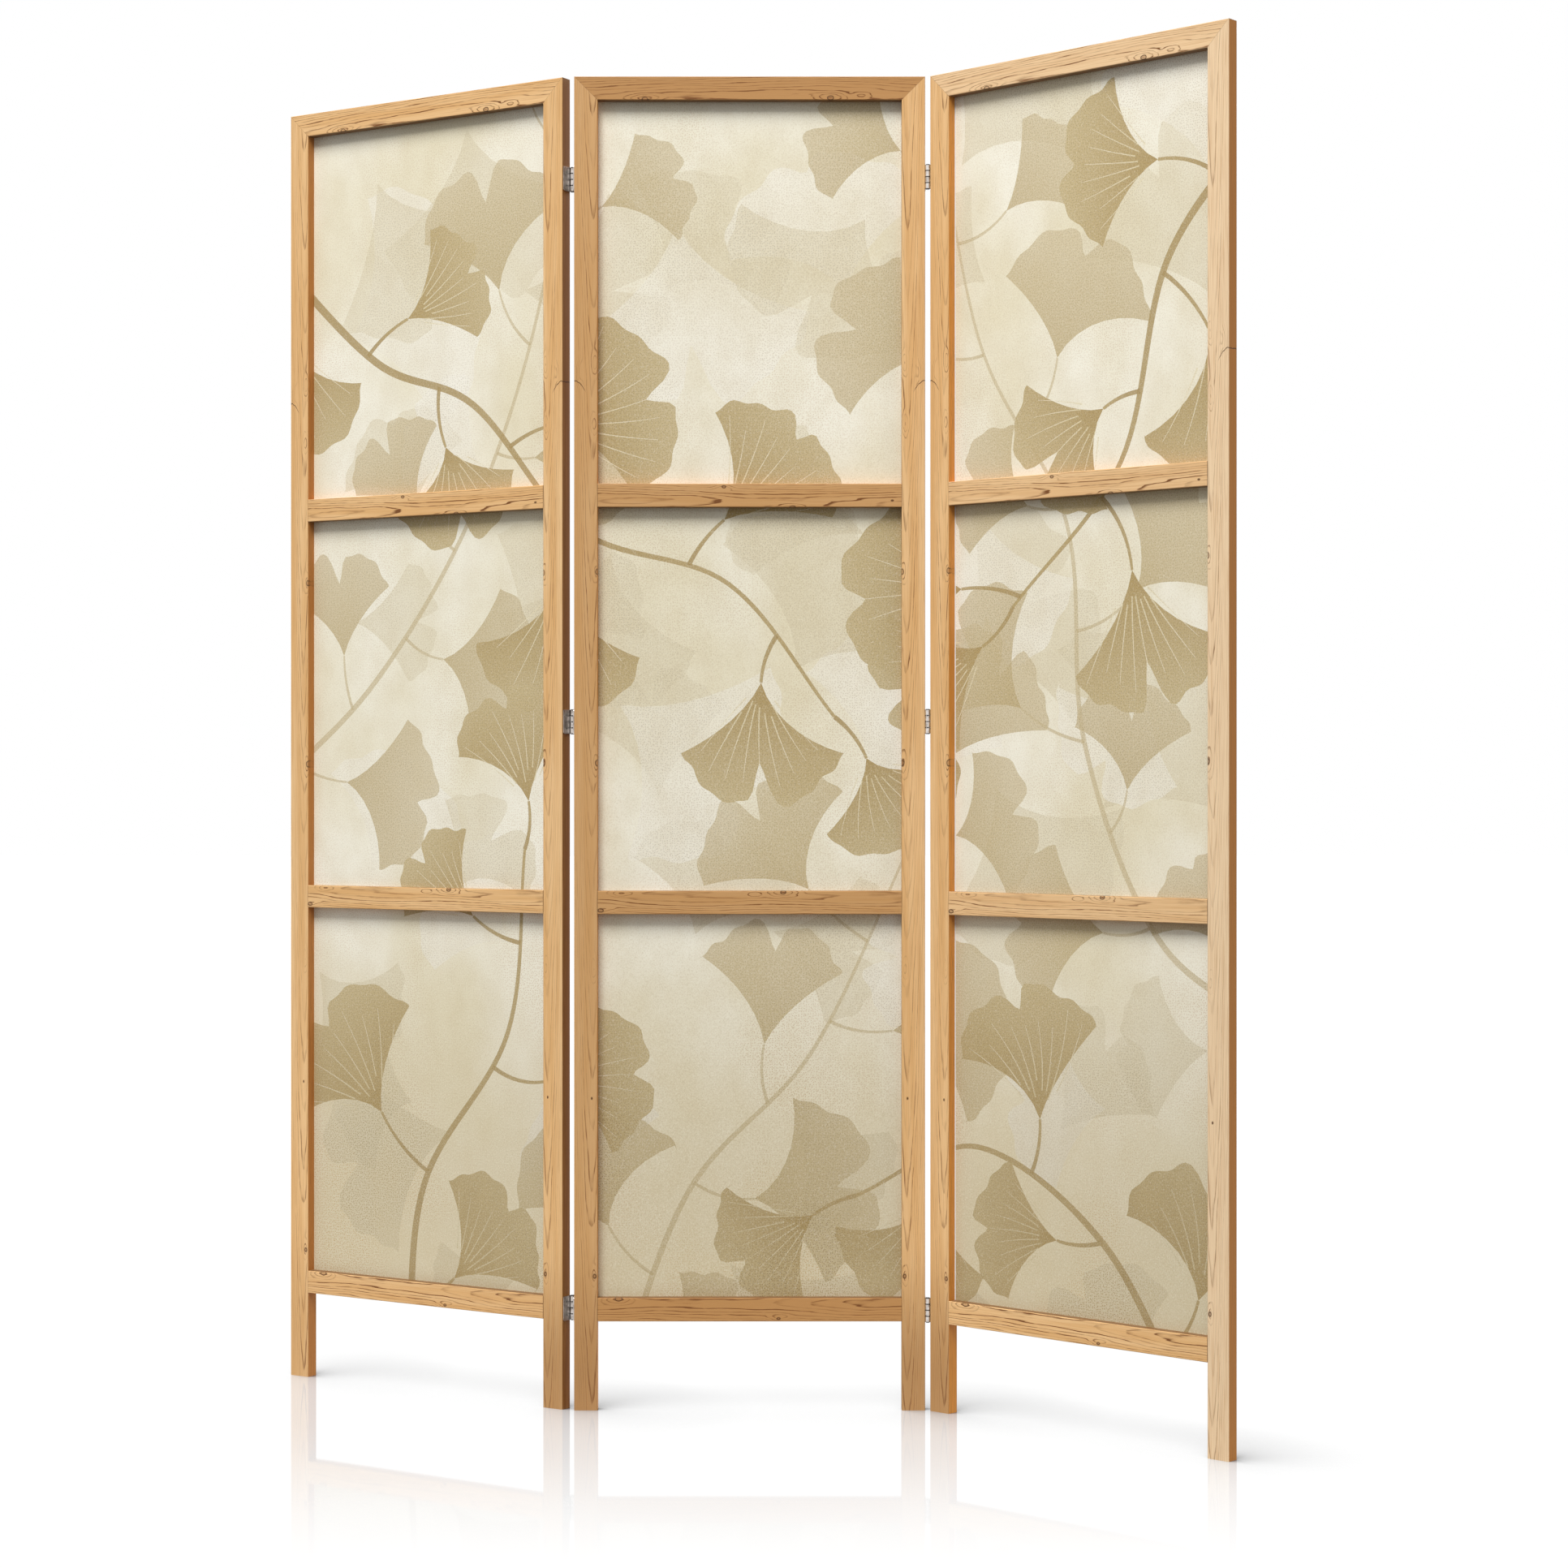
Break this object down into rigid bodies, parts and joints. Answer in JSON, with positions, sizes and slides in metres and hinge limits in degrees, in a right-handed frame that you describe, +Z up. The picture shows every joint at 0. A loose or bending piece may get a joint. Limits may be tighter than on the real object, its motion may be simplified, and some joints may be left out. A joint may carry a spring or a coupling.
{
  "type": "folding screen",
  "caption": "Free-standing zigzag folding screen: pine-framed panels on legs, printed cloth behind cross rails, and steel butt hinges in the joints.",
  "frame": {"origin": "on the floor, in the middle of the folded screen's bounding box", "axes": "+Z up; +X along the middle panel to the viewer's right; the front of the middle panel faces -Y"},
  "size_m": [1.2082, 0.5482, 1.71],
  "materials": {
    "pine": "planed pine, clear matt oil",
    "dowel_wood": "turned beech, raw",
    "printed_cloth": "printed non-woven cloth, matt",
    "hinge_steel": "nickel-plated steel, satin",
    "screw_steel": "zinc-plated steel",
    "staple_wire": "galvanised wire"
  },
  "bodies": {
    "middle_panel": {"left_joint_bottom_leaf_on_middle_panel": "hinge_steel", "left_joint_bottom_pin": "hinge_steel", "left_joint_middle_leaf_on_middle_panel": "hinge_steel", "left_joint_middle_pin": "hinge_steel", "left_joint_screws_in_middle_panel": "screw_steel", "left_joint_top_leaf_on_middle_panel": "hinge_steel", "left_joint_top_pin": "hinge_steel", "middle_panel_bottom_rail": "pine", "middle_panel_cloth": "printed_cloth", "middle_panel_dowels": "dowel_wood", "middle_panel_left_stile": "pine", "middle_panel_lower_rail": "pine", "middle_panel_right_stile": "pine", "middle_panel_staples": "staple_wire", "middle_panel_top_rail": "pine", "middle_panel_upper_rail": "pine", "right_joint_bottom_leaf_on_middle_panel": "hinge_steel", "right_joint_bottom_pin": "hinge_steel", "right_joint_middle_leaf_on_middle_panel": "hinge_steel", "right_joint_middle_pin": "hinge_steel", "right_joint_screws_in_middle_panel": "screw_steel", "right_joint_top_leaf_on_middle_panel": "hinge_steel", "right_joint_top_pin": "hinge_steel"},
    "left_panel": {"left_joint_bottom_leaf_on_left_panel": "hinge_steel", "left_joint_middle_leaf_on_left_panel": "hinge_steel", "left_joint_screws_in_left_panel": "screw_steel", "left_joint_top_leaf_on_left_panel": "hinge_steel", "left_panel_bottom_rail": "pine", "left_panel_cloth": "printed_cloth", "left_panel_dowels": "dowel_wood", "left_panel_left_stile": "pine", "left_panel_lower_rail": "pine", "left_panel_right_stile": "pine", "left_panel_staples": "staple_wire", "left_panel_top_rail": "pine", "left_panel_upper_rail": "pine"},
    "right_panel": {"right_joint_bottom_leaf_on_right_panel": "hinge_steel", "right_joint_middle_leaf_on_right_panel": "hinge_steel", "right_joint_screws_in_right_panel": "screw_steel", "right_joint_top_leaf_on_right_panel": "hinge_steel", "right_panel_bottom_rail": "pine", "right_panel_cloth": "printed_cloth", "right_panel_dowels": "dowel_wood", "right_panel_left_stile": "pine", "right_panel_lower_rail": "pine", "right_panel_right_stile": "pine", "right_panel_staples": "staple_wire", "right_panel_top_rail": "pine", "right_panel_upper_rail": "pine"}
  },
  "joints": [
    {"name": "left_fold", "type": "hinge", "parent": "middle_panel", "child": "left_panel", "pos_m": [-0.20636, 0.04147, 0.883], "axis": [0, 0, -1], "range_deg": [-43, 149]},
    {"name": "right_fold", "type": "hinge", "parent": "middle_panel", "child": "right_panel", "pos_m": [0.25024, 0.02247, 0.883], "axis": [0, 0, -1], "range_deg": [-53, 139]}
  ]
}
